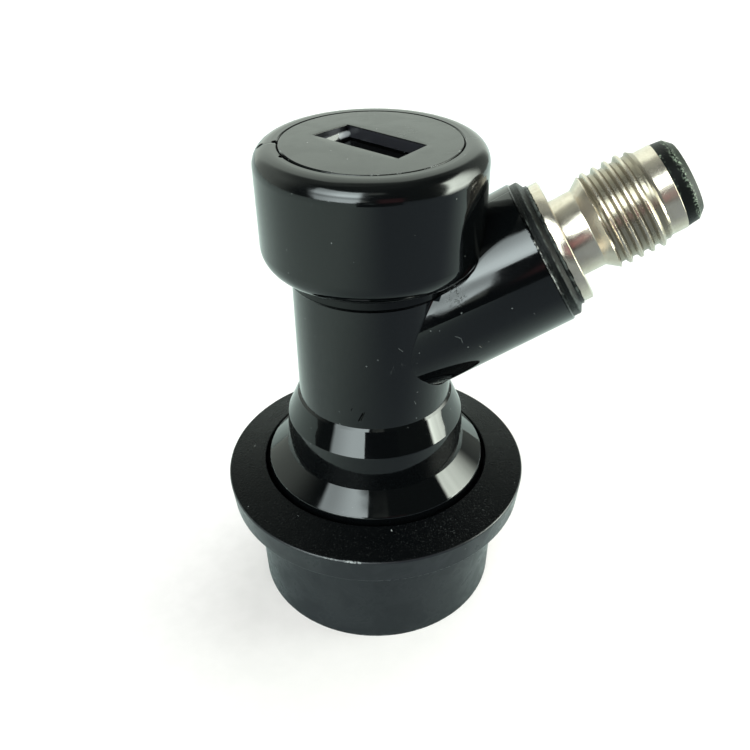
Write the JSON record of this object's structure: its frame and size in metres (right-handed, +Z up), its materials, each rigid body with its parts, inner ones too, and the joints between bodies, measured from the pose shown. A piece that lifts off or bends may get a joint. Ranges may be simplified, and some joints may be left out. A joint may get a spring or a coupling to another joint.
{
  "type": "ball lock liquid disconnect",
  "caption": "Sprung quick coupling for a drinks line: open socket with locking balls and a lift collar, slanted arm with a threaded flare outlet, slotted cap over the valve pin.",
  "frame": {"origin": "on the socket's axis, level with the rims of the skirt and the collar, which are the face the part stands on", "axes": "+Z up along the socket's axis towards the screw cap; the arm and its outlet rise towards +X, 29.3 degrees above level"},
  "size_m": [0.054, 0.0372, 0.0582],
  "materials": {
    "body_plastic": "glossy black moulded plastic",
    "cap_plastic": "satin black moulded plastic with fine scratches",
    "collar_plastic": "fine grained matt black on the flange, satin on the sleeve",
    "core_plastic": "matt black with a scuffed rim at the tip",
    "pin_plastic": "natural white plastic",
    "seal_rubber": "black rubber",
    "fitting_metal": "bright nickel with turning marks",
    "spring_steel": "drawn stainless wire",
    "ring_steel": "stamped stainless steel",
    "ball_steel": "polished stainless steel"
  },
  "bodies": {
    "body": {"body_shell": "body_plastic", "arm_end_ring": "body_plastic", "outlet_core": "core_plastic", "outlet_seal_ring": "seal_rubber", "outlet_fitting": "fitting_metal", "retaining_ring": "ring_steel", "collar_spring": "spring_steel", "plunger_spring": "spring_steel"},
    "collar": {"collar": "collar_plastic"},
    "valve_pin": {"plunger": "pin_plastic", "plunger_seal_ring": "seal_rubber"},
    "ball_1": {"lock_ball_1": "ball_steel"},
    "ball_2": {"lock_ball_2": "ball_steel"},
    "ball_3": {"lock_ball_3": "ball_steel"},
    "cap_seal": {"cap_seal_ring": "seal_rubber"},
    "cap": {"screw_cap": "cap_plastic"}
  },
  "joints": [
    {"name": "collar_slide", "type": "slide", "parent": "body", "child": "collar", "axis": [0, 0, 1], "range_m": [0, 0.0036], "stiffness_N_per_m": 1200, "springref_m": -0.006, "deforming": ["collar_spring"]},
    {"name": "pin_slide", "type": "slide", "parent": "body", "child": "valve_pin", "axis": [0, 0, 1], "range_m": [0, 0.0035], "stiffness_N_per_m": 500, "springref_m": -0.005, "deforming": ["plunger_spring"]},
    {"name": "ball_1_slide", "type": "slide", "parent": "body", "child": "ball_1", "axis": [0.5, 0.866, 0], "range_m": [0, 0.0009]},
    {"name": "ball_2_slide", "type": "slide", "parent": "body", "child": "ball_2", "axis": [-1, 0, 0], "range_m": [0, 0.0009]},
    {"name": "ball_3_slide", "type": "slide", "parent": "body", "child": "ball_3", "axis": [0.5, -0.866, 0], "range_m": [0, 0.0009]},
    {"name": "cap_lift", "type": "slide", "parent": "body", "child": "cap_seal", "axis": [0, 0, 1], "range_m": [0, 0.0056]},
    {"name": "cap_turn", "type": "hinge", "parent": "cap_seal", "child": "cap", "pos_m": [0, 0, 0.0582], "axis": [0, 0, 1], "range_deg": [0, 1440]}
  ],
  "couplings": [
    {"joint": "ball_1_slide", "follows": "collar_slide", "ratio": 0.25},
    {"joint": "ball_2_slide", "follows": "collar_slide", "ratio": 0.25},
    {"joint": "ball_3_slide", "follows": "collar_slide", "ratio": 0.25},
    {"joint": "cap_lift", "follows": "cap_turn", "m_per_rad": 0.00022282}
  ]
}
